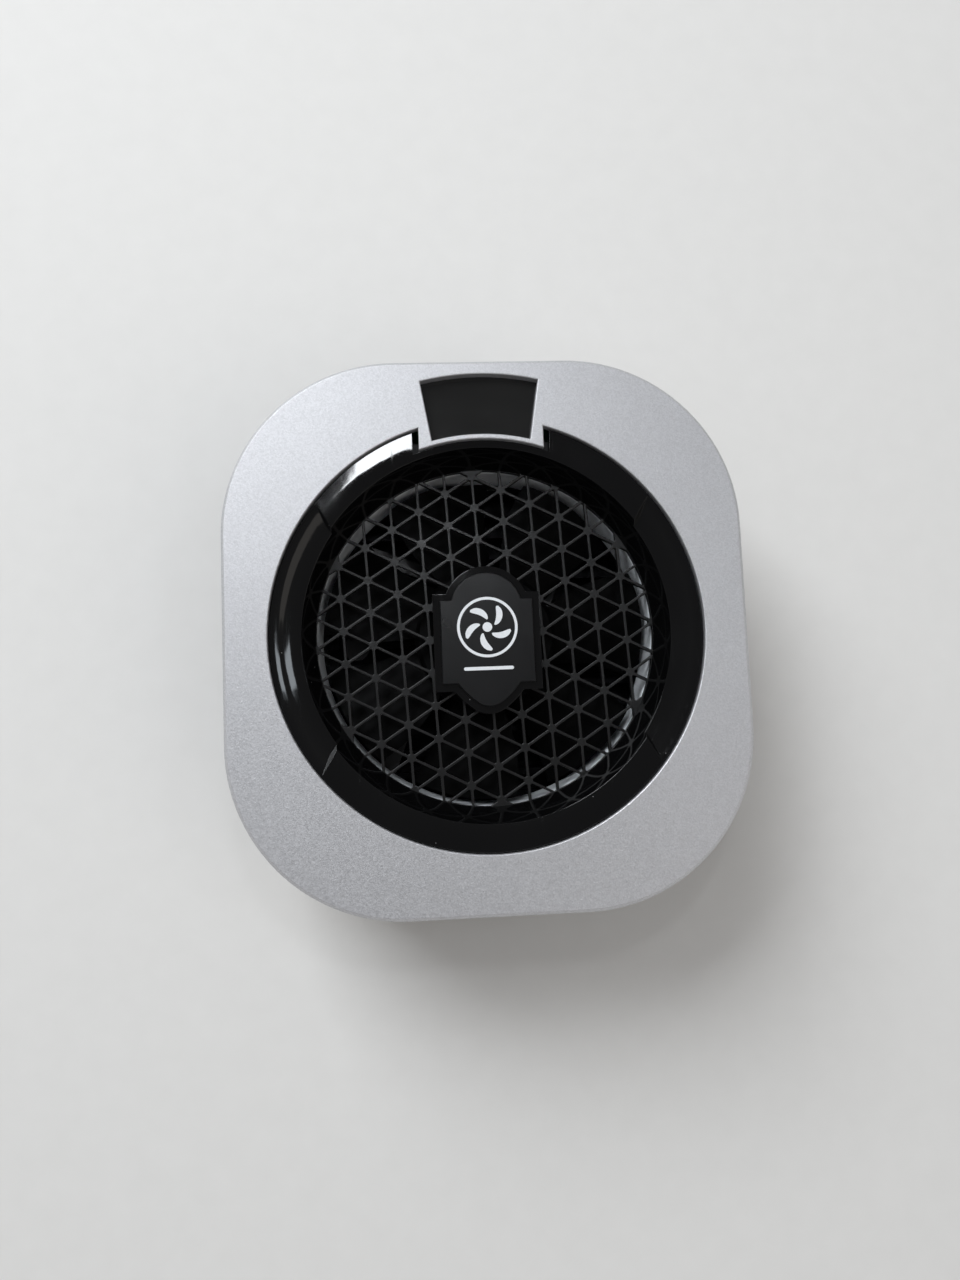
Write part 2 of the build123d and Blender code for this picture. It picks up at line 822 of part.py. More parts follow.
with BuildPart() as cold_plate:
    with BuildSketch():
        Circle(plate_radius)
    extrude(amount=plate_top)
    with BuildSketch(Plane.XY.offset(floor_top)):
        RegularPolygon(flange_radius, flange_sides, major_radius=False)
    extrude(amount=plate_flange_thickness)
    with BuildSketch(Plane.XY.offset(sink_screw_web)):
        with Locations(*sink_screw_places):
            Circle(sink_shank_radius + thread_gap)
    extrude(amount=plate_top - sink_screw_web, mode=Mode.SUBTRACT)
cold_plate.part.label = "cold_plate"
export_step(cold_plate.part, "parts/cold_plate.step")

for label, bottom in (("tec_cold_ceramic", plate_top), ("tec_hot_ceramic", pellet_top)):
    with BuildPart() as ceramic:
        with BuildSketch(Plane.XY.offset(bottom)):
            Rectangle(tec_size, tec_size)
        extrude(amount=ceramic_thickness)
    ceramic.part.label = label
    export_step(ceramic.part, f"parts/{label}.step")

pellet_pitch = (tec_size - 2 * pellet_margin - pellet_size) / (pellet_count - 1)
with BuildPart() as tec_pellets:
    with BuildSketch(Plane.XY.offset(pellet_bottom)):
        with GridLocations(pellet_pitch, pellet_pitch, pellet_count, pellet_count):
            Rectangle(pellet_size, pellet_size)
    extrude(amount=pellet_height)
tec_pellets.part.label = "tec_pellets"
export_step(tec_pellets.part, "parts/tec_pellets.step")

with BuildPart() as foam_gasket:
    with BuildSketch(Plane.XY.offset(plate_top)):
        RegularPolygon(flange_radius, flange_sides, major_radius=False)
        Rectangle(tec_size + 2 * gasket_gap, tec_size + 2 * gasket_gap, mode=Mode.SUBTRACT)
        with Locations(*sink_screw_places):
            Circle(sink_shank_radius + sink_shank_gap, mode=Mode.SUBTRACT)
    extrude(amount=tec_top - plate_top)
    with BuildSketch(Plane.XY.offset(plate_top)):
        with Locations(Location(polar(flange_radius, sensor_angle), sensor_angle)):
            Rectangle(2 * sensor_length + 4 * sensor_gap, sensor_width + 2 * sensor_gap)
    extrude(amount=sensor_height + sensor_gap, mode=Mode.SUBTRACT)
foam_gasket.part.label = "foam_gasket"
export_step(foam_gasket.part, "parts/foam_gasket.step")

with BuildPart() as thermistor:
    with BuildSketch(Plane.XY.offset(plate_top)):
        with Locations(Location(polar(sensor_reach, sensor_angle), sensor_angle)):
            Rectangle(sensor_length, sensor_width)
    extrude(amount=sensor_height)
thermistor.part.label = "thermistor"
export_step(thermistor.part, "parts/thermistor.step")

fin_pitch = (sink_size - fin_thickness) / (fin_count - 1)


def sink_outline(mode):
    """Draws the heatsink from above: a square with cut corners."""
    straight = sink_size / 2 - sink_corner
    with BuildLine() as outline:
        Polyline(
            (straight, -sink_size / 2),
            (sink_size / 2, -straight),
            (sink_size / 2, straight),
            (straight, sink_size / 2),
            (-straight, sink_size / 2),
            (-sink_size / 2, straight),
            (-sink_size / 2, -straight),
            (-straight, -sink_size / 2),
            close=True,
        )
    make_face(outline.edges(), mode=mode)


with BuildPart() as heatsink:
    with BuildSketch(Plane.XY.offset(fins_bottom)):
        with GridLocations(sink_size, fin_pitch, 1, fin_count):
            Rectangle(sink_size, fin_thickness)
        sink_outline(Mode.INTERSECT)
        with Locations(*sink_screw_places):
            Rectangle(
                2 * (sink_head_radius + fin_head_gap),
                2 * (sink_head_radius + fin_head_gap),
                mode=Mode.SUBTRACT,
            )
    extrude(amount=fin_height)
    with BuildSketch(Plane.XY.offset(tec_top)):
        sink_outline(Mode.ADD)
        with Locations(*sink_screw_places):
            Circle(sink_shank_radius + sink_shank_gap, mode=Mode.SUBTRACT)
    extrude(amount=heatsink_base)
heatsink.part.label = "heatsink"
export_step(heatsink.part, "parts/heatsink.step")

heatsink_screws = screw_set(
    sink_screw_places,
    fins_bottom,
    -1,
    sink_head_radius,
    sink_head_height,
    sink_shank_radius,
    fins_bottom - 2 * sink_screw_web,
)
heatsink_screws.label = "heatsink_screws"
export_step(heatsink_screws, "parts/heatsink_screws.step")

# Ring of magnets that holds the cooler to the phone, glued into a groove of the lower shell's floor
magnet_plate_gap = 1.9
magnet_width = 4.0
magnet_count = 16
magnet_slit = 0.5
groove_gap = 0.15
magnet_web = 0.6
magnet_thickness = 1.8
magnet_inner_radius = flange_radius + magnet_plate_gap
magnet_outer_radius = magnet_inner_radius + magnet_width
magnet_bottom = pad_thickness + magnet_web

with BuildPart() as magnet_ring:
    with BuildSketch(Plane.XY.offset(magnet_bottom)):
        RegularPolygon(magnet_outer_radius, magnet_count, major_radius=False)
        RegularPolygon(magnet_inner_radius, magnet_count, major_radius=False, mode=Mode.SUBTRACT)
        with PolarLocations(magnet_inner_radius + magnet_width / 2, magnet_count):
            Rectangle(2 * magnet_width, magnet_slit, mode=Mode.SUBTRACT)
    extrude(amount=magnet_thickness)
magnet_ring.part.label = "magnet_ring"
export_step(magnet_ring.part, "parts/magnet_ring.step")

# Soft ring that meets the phone, glued under the magnets
pad_margin = 1.5
pad_inner_radius = magnet_inner_radius - pad_margin
pad_outer_radius = magnet_outer_radius + pad_margin

with BuildPart() as pad_ring:
    with BuildSketch():
        ring(pad_outer_radius, pad_inner_radius)
    extrude(amount=pad_thickness)
pad_ring.part.label = "pad_ring"
export_step(pad_ring.part, "parts/pad_ring.step")

# Main board on two posts, with the power inlet, a side switch and a few components
board_rise = 6.0
board_thickness = 1.0
board_width = 30.0
board_length = 7.3
board_wall_gap = 1.0
board_post_x = 13.0
board_post_inset = 1.8
board_post_size = 2.6
board_stake_size = 1.4
board_stake_rise = 0.4
inlet_width = 8.94
inlet_height = 3.16
inlet_length = 7.35
inlet_wall = 0.3
inlet_back = 0.8
inlet_recess = 0.2
inlet_gap = 0.2
tongue_width = 6.7
tongue_height = 0.7
tongue_length = 4.8
wall_inner_y = -(body_length / 2 - wall_inset)
wall_outer_y = -(body_length / 2 - back_inset)
board_front_y = wall_inner_y + board_wall_gap
board_back_y = board_front_y + board_length
board_bottom = floor_top + board_rise
board_top = board_bottom + board_thickness
inlet_z = board_top + inlet_height / 2
inlet_mouth_y = wall_outer_y + inlet_recess
board_post_places = [(side * board_post_x, board_back_y - board_post_inset) for side in (-1, 1)]

with BuildPart() as main_board:
    with BuildSketch(Plane.XY.offset(board_bottom)):
        with Locations((0, (board_front_y + board_back_y) / 2)):
            Rectangle(board_width, board_length)
        with Locations(*board_post_places):
            Rectangle(
                board_stake_size + 2 * thread_gap, board_stake_size + 2 * thread_gap, mode=Mode.SUBTRACT
            )
    extrude(amount=board_thickness)
main_board.part.label = "main_board"
export_step(main_board.part, "parts/main_board.step")

with BuildPart() as usb_socket:
    with BuildSketch(Plane.XZ.offset(-inlet_mouth_y)):
        with Locations((0, inlet_z)):
            SlotOverall(inlet_width, inlet_height)
    extrude(amount=-inlet_length)
    with BuildSketch(Plane.XZ.offset(-inlet_mouth_y)):
        with Locations((0, inlet_z)):
            SlotOverall(inlet_width - 2 * inlet_wall, inlet_height - 2 * inlet_wall)
    extrude(amount=inlet_back - inlet_length, mode=Mode.SUBTRACT)
usb_socket.part.label = "usb_socket"
export_step(usb_socket.part, "parts/usb_socket.step")

with BuildPart() as usb_tongue:
    with BuildSketch(Plane.XZ.offset(-(inlet_mouth_y + inlet_length - inlet_back))):
        with Locations((0, inlet_z)):
            Rectangle(tongue_width, tongue_height)
    extrude(amount=tongue_length)
usb_tongue.part.label = "usb_tongue"
export_step(usb_tongue.part, "parts/usb_tongue.step")

# Coil and controller beside the inlet
inductor_size = 4.0
inductor_height = 2.4
inductor_x = -8.6
chip_size = 2.4
chip_height = 0.9
chip_x = 8.0
chip_inset = 1.6

with BuildPart() as board_parts:
    with BuildSketch(Plane.XY.offset(board_top)):
        with Locations((inductor_x, (board_front_y + board_back_y) / 2)):
            Rectangle(inductor_size, inductor_size)
    extrude(amount=inductor_height)
    with BuildSketch(Plane.XY.offset(board_top)):
        with Locations((chip_x, board_back_y - chip_inset)):
            Rectangle(chip_size, chip_size)
    extrude(amount=chip_height)
board_parts.part.label = "board_parts"
export_step(board_parts.part, "parts/board_parts.step")

# Side button: a slim cap in the wall, a flange behind it, and the switch it presses
button_width = 5.2
button_height = 2.4
button_stand = 0.4
button_gap = 0.15
button_flange_width = 6.6
button_flange_height = 2.9
button_flange_thickness = 0.6
button_stem_width = 1.6
button_stem_height = 1.2
button_stem_length = 0.6
switch_width = 4.4
switch_length = 3.0
plunger_stand = 0.5
plunger_depth = 1.4
plunger_gap = 0.1
button_x = 10.0
button_travel = 0.35
button_front_y = wall_outer_y - button_stand
button_flange_y = wall_inner_y + fit_gap
button_stem_y = button_flange_y + button_flange_thickness
plunger_y = button_stem_y + button_stem_length
switch_y = plunger_y + plunger_stand
plunger_end_y = switch_y + plunger_depth
pocket_end_y = plunger_end_y + button_travel + plunger_gap


def side_face(y):
    """Plane square to the lower wall at a given place, seen from outside."""
    return Plane.XZ.offset(-y)


with BuildPart() as mode_button:
    with BuildSketch(side_face(button_front_y)):
        with Locations((button_x, inlet_z)):
            SlotOverall(button_width, button_height)
    extrude(amount=button_front_y - button_flange_y)
    with BuildSketch(side_face(button_flange_y)):
        with Locations((button_x, inlet_z)):
            SlotOverall(button_flange_width, button_flange_height)
    extrude(amount=-button_flange_thickness)
    with BuildSketch(side_face(button_stem_y)):
        with Locations((button_x, inlet_z)):
            Rectangle(button_stem_width, button_stem_height)
    extrude(amount=-button_stem_length)
mode_button.part.label = "mode_button"
export_step(mode_button.part, "parts/mode_button.step")

with BuildPart() as switch_plunger:
    with BuildSketch(side_face(plunger_y)):
        with Locations((button_x, inlet_z)):
            Rectangle(button_stem_width, button_stem_height)
    extrude(amount=plunger_y - plunger_end_y)
switch_plunger.part.label = "switch_plunger"
export_step(switch_plunger.part, "parts/switch_plunger.step")

with BuildPart() as tact_switch:
    with BuildSketch(side_face(switch_y)):
        with Locations((button_x, inlet_z)):
            Rectangle(switch_width, inlet_height)
    extrude(amount=-switch_length)
    with BuildSketch(side_face(switch_y)):
        with Locations((button_x, inlet_z)):
            Rectangle(button_stem_width + 2 * plunger_gap, button_stem_height + 2 * plunger_gap)
    extrude(amount=switch_y - pocket_end_y, mode=Mode.SUBTRACT)
tact_switch.part.label = "tact_switch"
export_step(tact_switch.part, "parts/tact_switch.step")

# Display behind the window
with BuildPart() as display_board:
    with BuildSketch(Plane.XY.offset(display_board_bottom)):
        with Locations((0, display_y)):
            Rectangle(display_board_width, display_board_length)
        with Locations(*display_post_places):
            Rectangle(
                display_stake_size + 2 * thread_gap,
                display_stake_size + 2 * thread_gap,
                mode=Mode.SUBTRACT,
            )
    extrude(amount=display_board_thickness)
display_board.part.label = "display_board"
export_step(display_board.part, "parts/display_board.step")

with BuildPart() as display_module:
    with BuildSketch(Plane.XY.offset(display_board_top)):
        with Locations((0, display_y)):
            Rectangle(display_width, display_length)
    extrude(amount=display_height)
display_module.part.label = "display_module"
export_step(display_module.part, "parts/display_module.step")

# Lower shell: a tray with air outlets in its wall, the magnet groove, posts and snap hooks
vent_width = 2.4
vent_bottom = 5.0
vent_height = 6.6
vent_pitch = 4.6
side_vent_count = 6
end_vent_pitch = 4.9
end_vent_count = 5
corner_vent_first = 8.0
corner_vent_step = 16.0
corner_vent_half_count = 2
vent_inner_gap = 0.2
window_plate_gap = 0.2
vent_z = vent_bottom + vent_height / 2
vent_depth = case_wall + back_inset + vent_inner_gap
corner_vent_turns = [
    side * (corner_vent_first + step * corner_vent_step)
    for side in (-1, 1)
    for step in range(corner_vent_half_count)
]
vent_reach = corner_radius - wall_inset - vent_inner_gap + vent_depth / 2

with BuildPart() as back_shell:
    with BuildSketch(Plane.XY.offset(pad_thickness)):
        body_outline(back_inset)
    extrude(amount=parting_height - pad_thickness)
    chamfer(back_shell.faces().sort_by(Axis.Z)[0].edges(), length=back_edge)
    with BuildSketch(Plane.XY.offset(parting_height)):
        body_outline(shell_wall + fit_gap)
    extrude(amount=lip_height)
    hook_boxes(
        parting_height + lip_height - hook_drop, hook_depth, hook_length, hook_height, Mode.ADD
    )
    with BuildSketch(Plane.XY.offset(floor_top)):
        body_outline(wall_inset)
    extrude(amount=parting_height + lip_height - floor_top, mode=Mode.SUBTRACT)
    with BuildSketch(Plane.XY.offset(magnet_bottom)):
        RegularPolygon(magnet_outer_radius + groove_gap, magnet_count, major_radius=False)
        RegularPolygon(
            magnet_inner_radius - groove_gap, magnet_count, major_radius=False, mode=Mode.SUBTRACT
        )
    extrude(amount=floor_top - magnet_bottom, mode=Mode.SUBTRACT)
    with BuildSketch(Plane.XY.offset(pad_thickness)):
        Circle(plate_radius + window_plate_gap)
    extrude(amount=floor_thickness, mode=Mode.SUBTRACT)
    with BuildSketch(Plane.XY.offset(floor_top)):
        with Locations(*fan_lug_places):
            Rectangle(fan_post_size, fan_post_size)
    extrude(amount=fins_top - floor_top)
    with BuildSketch(Plane.XY.offset(fins_top)):
        with Locations(*fan_lug_places):
            Circle(fan_shank_radius + thread_gap)
    extrude(amount=lug_thickness - fan_shank_length - overrun, mode=Mode.SUBTRACT)
    with BuildSketch(Plane.XY.offset(floor_top)):
        with Locations(*board_post_places):
            Rectangle(board_post_size, board_post_size)
    extrude(amount=board_bottom - floor_top)
    with BuildSketch(Plane.XY.offset(board_bottom)):
        with Locations(*board_post_places):
            Rectangle(board_stake_size, board_stake_size)
    extrude(amount=board_thickness + board_stake_rise)
    with Locations((0, 0, vent_z)):
        for side in (-1, 1):
            with Locations((side * (body_width / 2 - wall_inset - vent_inner_gap + vent_depth / 2), 0)):
                with GridLocations(vent_depth, vent_pitch, 1, side_vent_count):
                    Box(vent_depth, vent_width, vent_height, mode=Mode.SUBTRACT)
        with Locations((0, body_length / 2 - wall_inset - vent_inner_gap + vent_depth / 2)):
            with GridLocations(end_vent_pitch, vent_depth, end_vent_count, 1):
                Box(vent_width, vent_depth, vent_height, mode=Mode.SUBTRACT)
        for corner in GridLocations(body_width - 2 * corner_radius, body_length - 2 * corner_radius, 2, 2):
            middle = corner.position
            diagonal = math.degrees(math.atan2(math.copysign(1, middle.Y), math.copysign(1, middle.X)))
            for turn in corner_vent_turns:
                x, y = polar(vent_reach, diagonal + turn)
                with Locations(Location((middle.X + x, middle.Y + y, 0), (0, 0, diagonal + turn))):
                    Box(vent_depth, vent_width, vent_height, mode=Mode.SUBTRACT)
    with BuildSketch(side_face(wall_outer_y - overrun)):
        with Locations((0, inlet_z)):
            SlotOverall(inlet_width + 2 * inlet_gap, inlet_height + 2 * inlet_gap)
        with Locations((button_x, inlet_z)):
            SlotOverall(button_width + 2 * button_gap, button_height + 2 * button_gap)
    extrude(amount=-(case_wall + 2 * overrun), mode=Mode.SUBTRACT)
back_shell.part.label = "back_shell"
export_step(back_shell.part, "parts/back_shell.step")
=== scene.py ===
import bpy
import bmesh
import json
import math
from mathutils import Matrix, Vector


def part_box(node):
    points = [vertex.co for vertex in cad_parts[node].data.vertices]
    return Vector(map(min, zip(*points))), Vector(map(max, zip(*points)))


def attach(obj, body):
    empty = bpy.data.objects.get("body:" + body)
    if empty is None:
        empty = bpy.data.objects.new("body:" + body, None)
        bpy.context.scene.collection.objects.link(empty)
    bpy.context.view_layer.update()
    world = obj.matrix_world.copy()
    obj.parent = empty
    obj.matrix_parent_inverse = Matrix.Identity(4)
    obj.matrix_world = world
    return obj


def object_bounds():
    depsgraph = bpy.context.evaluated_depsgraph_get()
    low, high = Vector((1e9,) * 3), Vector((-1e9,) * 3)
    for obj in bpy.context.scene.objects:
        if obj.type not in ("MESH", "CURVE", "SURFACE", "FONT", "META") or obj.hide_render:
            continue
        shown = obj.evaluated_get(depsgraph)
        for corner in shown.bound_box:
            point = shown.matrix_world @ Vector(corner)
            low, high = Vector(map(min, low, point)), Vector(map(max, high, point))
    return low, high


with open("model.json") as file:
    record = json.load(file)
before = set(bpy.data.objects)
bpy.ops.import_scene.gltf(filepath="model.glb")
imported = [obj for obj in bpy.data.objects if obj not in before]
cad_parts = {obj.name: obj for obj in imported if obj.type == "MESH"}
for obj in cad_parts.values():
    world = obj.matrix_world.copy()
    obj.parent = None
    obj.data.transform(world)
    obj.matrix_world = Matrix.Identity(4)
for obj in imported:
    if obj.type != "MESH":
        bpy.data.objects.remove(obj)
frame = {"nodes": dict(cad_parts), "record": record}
cad_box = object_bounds()
nodes = frame["nodes"]
scene = bpy.context.scene
scene.view_settings.view_transform = "Standard"

MM = 0.001
body_height = cad_box[1].z
pi = math.pi

# The background that the far floor and the low sky share
background_tone = (0.72, 0.72, 0.715)


# Node helpers

# Sockets of a mix node that carry its two colours and its result
first_colour_socket = 6
second_colour_socket = 7
mixed_colour_socket = 2

# Ranges of a value: all of it, all of it turned round, and the part that most of a noise lies in
full_range = (0.0, 1.0)
falling_range = (1.0, 0.0)
noise_range = (0.3, 0.7)

# Stretches of a texture's space: lines run along the axis with the small value
line_squeeze = 0.03
along_y = (1, line_squeeze, 1)
along_x = (line_squeeze, 1, 1)
along_xy = (line_squeeze, line_squeeze, 1)
even = (1, 1, 1)

bevel_samples = 6


def add(tree, kind, **values):
    """Adds a shader node and sets its properties and its sockets by name."""
    made = tree.nodes.new(kind)
    for name, value in values.items():
        if hasattr(made, name):
            setattr(made, name, value)
        else:
            made.inputs[name.replace("_", " ")].default_value = value
    return made


def start_material(name, **values):
    """A material with one Principled shader; gives (material, tree, shader)."""
    material = bpy.data.materials.new(name)
    material.use_nodes = True
    tree = material.node_tree
    tree.nodes.clear()
    shader = add(tree, "ShaderNodeBsdfPrincipled", **values)
    output = add(tree, "ShaderNodeOutputMaterial")
    tree.links.new(shader.outputs["BSDF"], output.inputs["Surface"])
    return material, tree, shader


def place(tree, stretch=even, turn=0.0):
    """The object's own coordinates in metres, stretched along its axes."""
    coords = add(tree, "ShaderNodeTexCoord")
    mapping = add(tree, "ShaderNodeMapping", Scale=stretch, Rotation=(0, 0, turn))
    tree.links.new(coords.outputs["Object"], mapping.inputs["Vector"])
    return mapping.outputs["Vector"]


def noise(tree, size, detail, stretch=even, turn=0.0):
    """Noise whose features are about one size across, from 0 to 1."""
    made = add(tree, "ShaderNodeTexNoise", Scale=1 / size, Detail=detail)
    tree.links.new(place(tree, stretch, turn), made.inputs["Vector"])
    return made.outputs["Fac"]


def cells(tree, size, randomness=1.0):
    """A pattern of cells about one size across, each with a colour and the distance from its middle."""
    made = add(tree, "ShaderNodeTexVoronoi", Scale=1 / size, Randomness=randomness)
    tree.links.new(place(tree), made.inputs["Vector"])
    return made


def ranged(tree, value, source, target=full_range):
    """Maps a value from one (low, high) range to another, clamped."""
    made = add(tree, "ShaderNodeMapRange")
    names = ("From Min", "From Max", "To Min", "To Max")
    for name, number in zip(names, (*source, *target)):
        made.inputs[name].default_value = number
    tree.links.new(value, made.inputs["Value"])
    return made.outputs["Result"]


def combined(tree, operation, first, second):
    """Joins two values by an operation of arithmetic."""
    made = add(tree, "ShaderNodeMath", operation=operation)
    tree.links.new(first, made.inputs[0])
    tree.links.new(second, made.inputs[1])
    return made.outputs["Value"]


def mixed(tree, share, first, second):
    """Mixes two colours by a share; each colour is a tuple or a socket."""
    made = add(tree, "ShaderNodeMix", data_type="RGBA")
    tree.links.new(share, made.inputs[0])
    for number, colour in ((first_colour_socket, first), (second_colour_socket, second)):
        if isinstance(colour, tuple):
            made.inputs[number].default_value = (*colour, 1)
        else:
            tree.links.new(colour, made.inputs[number])
    return made.outputs[mixed_colour_socket]


def shaded(colour, factor):
    """The colour made darker or lighter by a factor."""
    return tuple(min(1, part * factor) for part in colour)


def tinted(tree, shader, share, colours):
    """Gives the shader a base colour that a share mixes from two."""
    tree.links.new(mixed(tree, share, *colours), shader.inputs["Base Color"])


def roughened(tree, shader, share, target, source=noise_range):
    """Gives the shader a roughness that follows a share over a (low, high) range."""
    tree.links.new(ranged(tree, share, source, target), shader.inputs["Roughness"])


def bumped(tree, shader, heights, edge=0.0):
    """Adds bumps, each a (height socket, depth in metres), over edges softened by a radius."""
    normal = None
    if edge:
        soft = add(tree, "ShaderNodeBevel", samples=bevel_samples, Radius=edge)
        normal = soft.outputs["Normal"]
    for height, depth in heights:
        bump = add(tree, "ShaderNodeBump", Strength=1.0, Distance=depth)
        tree.links.new(height, bump.inputs["Height"])
        if normal:
            tree.links.new(normal, bump.inputs["Normal"])
        normal = bump.outputs["Normal"]
    tree.links.new(normal, shader.inputs["Normal"])


# Materials

def moulded(name, colour, roughness, grain, depth, edge=0.0, **values):
    """Moulded surface: a fine grain, uneven gloss and a slight change of colour; sizes in mm."""
    patch_size = 6 * MM
    darkest = 0.86
    lightest = 1.16
    gloss_spread = 0.06
    material, tree, shader = start_material(name, **values)
    uneven = noise(tree, patch_size, detail=4)
    tinted(tree, shader, uneven, (shaded(colour, darkest), shaded(colour, lightest)))
    roughened(tree, shader, uneven, (roughness - gloss_spread, roughness + gloss_spread))
    bumped(tree, shader, [(noise(tree, grain * MM, detail=3), depth * MM)], edge * MM)
    return material


def gloss_black(name):
    """Polished black plastic with a faint haze, fine scratches and a few specks of dust."""
    haze_size = 9 * MM
    haze_range = (0.35, 0.7)
    haze_gloss = (0.03, 0.09)
    film_colours = ((0.0012, 0.0012, 0.0013), (0.0024, 0.0024, 0.0026))
    dust_spacing = 1.6 * MM
    dust_radii = (0.028, 0.05)
    dust_rarity = 0.62
    dust_colour = (0.2, 0.2, 0.2)
    scratch_size = 0.5 * MM
    scratch_stretch = (1, 0.04, 1)
    scratch_turn = 0.6
    scratch_range = (0.6, 0.75)
    scratch_dullness = (0.0, 0.07)
    ripple_size = 2.4 * MM
    ripple_depth = 0.006 * MM
    material, tree, shader = start_material(name, IOR=1.42)
    haze = noise(tree, haze_size, detail=5)
    specks = cells(tree, dust_spacing)
    dust = ranged(tree, specks.outputs["Distance"], dust_radii, falling_range)
    chosen = add(tree, "ShaderNodeMath", operation="GREATER_THAN")
    chosen.inputs[1].default_value = dust_rarity
    tree.links.new(specks.outputs["Color"], chosen.inputs[0])
    grains = combined(tree, "MULTIPLY", dust, chosen.outputs["Value"])
    tinted(tree, shader, grains, (mixed(tree, haze, *film_colours), dust_colour))
    scratches = noise(tree, scratch_size, detail=2, stretch=scratch_stretch, turn=scratch_turn)
    smooth = ranged(tree, haze, haze_range, haze_gloss)
    worn = ranged(tree, scratches, scratch_range, scratch_dullness)
    tree.links.new(combined(tree, "ADD", smooth, worn), shader.inputs["Roughness"])
    bumped(tree, shader, [(noise(tree, ripple_size, detail=1), ripple_depth)], edge=0.09 * MM)
    return material


def flake_paint(name, colour):
    """Satin metallic paint: fine flakes that catch the light over a slightly uneven coat."""
    flake_size = 0.16 * MM
    flake_roughness = (0.44, 0.6)
    flake_depth = 0.004 * MM
    coat_patch = 14 * MM
    dull_factors = (0.97, 1.03)
    glint_factors = (1.14, 1.2)
    peel_size = 0.45 * MM
    peel_depth = 0.01 * MM
    material, tree, shader = start_material(
        name, Metallic=0.85, Coat_Weight=0.05, Coat_Roughness=0.4
    )
    flake = add(tree, "ShaderNodeSeparateColor")
    tree.links.new(cells(tree, flake_size).outputs["Color"], flake.inputs["Color"])
    glint = ranged(tree, flake.outputs["Red"], full_range)
    coat = noise(tree, coat_patch, detail=3)
    dull = mixed(tree, coat, *(shaded(colour, factor) for factor in dull_factors))
    bright = mixed(tree, coat, *(shaded(colour, factor) for factor in glint_factors))
    tinted(tree, shader, glint, (dull, bright))
    roughened(tree, shader, flake.outputs["Green"], flake_roughness, full_range)
    peel = noise(tree, peel_size, detail=2)
    bumped(tree, shader, [(flake.outputs["Blue"], flake_depth), (peel, peel_depth)], edge=0.12 * MM)
    return material


def metal(name, colour, roughness, along=along_y, edge=0.0):
    """Bare metal with the fine lines that rolling, drawing or turning leaves; its edge in mm."""
    line_size = 0.12 * MM
    line_depth = 0.003 * MM
    cloud_size = 5 * MM
    darkest = 0.9
    lightest = 1.08
    smoother = 0.07
    rougher = 0.09
    material, tree, shader = start_material(name, Metallic=1.0)
    lines = noise(tree, line_size, detail=3, stretch=along)
    cloud = noise(tree, cloud_size, detail=3)
    tinted(tree, shader, cloud, (shaded(colour, darkest), shaded(colour, lightest)))
    roughened(tree, shader, lines, (roughness - smoother, roughness + rougher))
    bumped(tree, shader, [(lines, line_depth)], edge * MM)
    return material


def milky(name):
    """Milky light guide: light scatters inside and the surface is faintly frosted."""
    cloud_size = 3 * MM
    cloud_colours = ((0.84, 0.88, 0.92), (0.9, 0.93, 0.96))
    scatter_radii = (1, 1, 1)
    frost_size = 0.25 * MM
    frost_depth = 0.006 * MM
    material, tree, shader = start_material(
        name,
        Roughness=0.28,
        IOR=1.46,
        Subsurface_Weight=0.15,
        Subsurface_Scale=0.6 * MM,
        Subsurface_Radius=scatter_radii,
    )
    tinted(tree, shader, noise(tree, cloud_size, detail=3), cloud_colours)
    bumped(tree, shader, [(noise(tree, frost_size, detail=2), frost_depth)], edge=0.25 * MM)
    return material


def board(name):
    """Circuit board: green mask over fine copper tracks, with tinned pads."""
    mask_patch = 2 * MM
    mask_colours = ((0.012, 0.075, 0.032), (0.018, 0.1, 0.045))
    track_colour = (0.035, 0.16, 0.07)
    track_length = 1.9 * MM
    track_pitch = 0.7 * MM
    track_width = 0.09 * MM
    track_turn = 0.785
    track_depth = 0.02 * MM
    pad_spacing = 2.2 * MM
    pad_randomness = 0.8
    pad_radii = (0.14, 0.16)
    pad_colour = (0.62, 0.6, 0.55)
    material, tree, shader = start_material(name, Roughness=0.35, IOR=1.5)
    tracks = add(
        tree,
        "ShaderNodeTexBrick",
        Scale=1.0,
        Brick_Width=track_length,
        Row_Height=track_pitch,
        Mortar_Size=track_width,
    )
    tree.links.new(place(tree, turn=track_turn), tracks.inputs["Vector"])
    mask = mixed(tree, noise(tree, mask_patch, detail=3), *mask_colours)
    lit = mixed(tree, tracks.outputs["Fac"], mask, track_colour)
    spots = cells(tree, pad_spacing, pad_randomness)
    pad = ranged(tree, spots.outputs["Distance"], pad_radii, falling_range)
    tinted(tree, shader, pad, (lit, pad_colour))
    tree.links.new(pad, shader.inputs["Metallic"])
    bumped(tree, shader, [(tracks.outputs["Fac"], track_depth)])
    return material


def wound(name):
    """Enamelled copper wire, wound in close layers, with painted shade that darkens the copper in the
    grooves between turns.
    """
    wire_pitch = 1.3 * MM
    wire_depth = 0.05 * MM
    copper_with_groove_shade = ((0.32, 0.1, 0.03), (0.72, 0.31, 0.13))
    material, tree, shader = start_material(name, Metallic=0.85, Roughness=0.3, Coat_Weight=0.6)
    turns = add(
        tree,
        "ShaderNodeTexWave",
        bands_direction="DIAGONAL",
        Scale=1 / wire_pitch,
        Distortion=0.4,
    )
    tree.links.new(place(tree), turns.inputs["Vector"])
    # Painted shade: the copper is darker where the wave is low, in the grooves between the turns
    tinted(tree, shader, turns.outputs["Fac"], copper_with_groove_shade)
    bumped(tree, shader, [(turns.outputs["Fac"], wire_depth)])
    return material


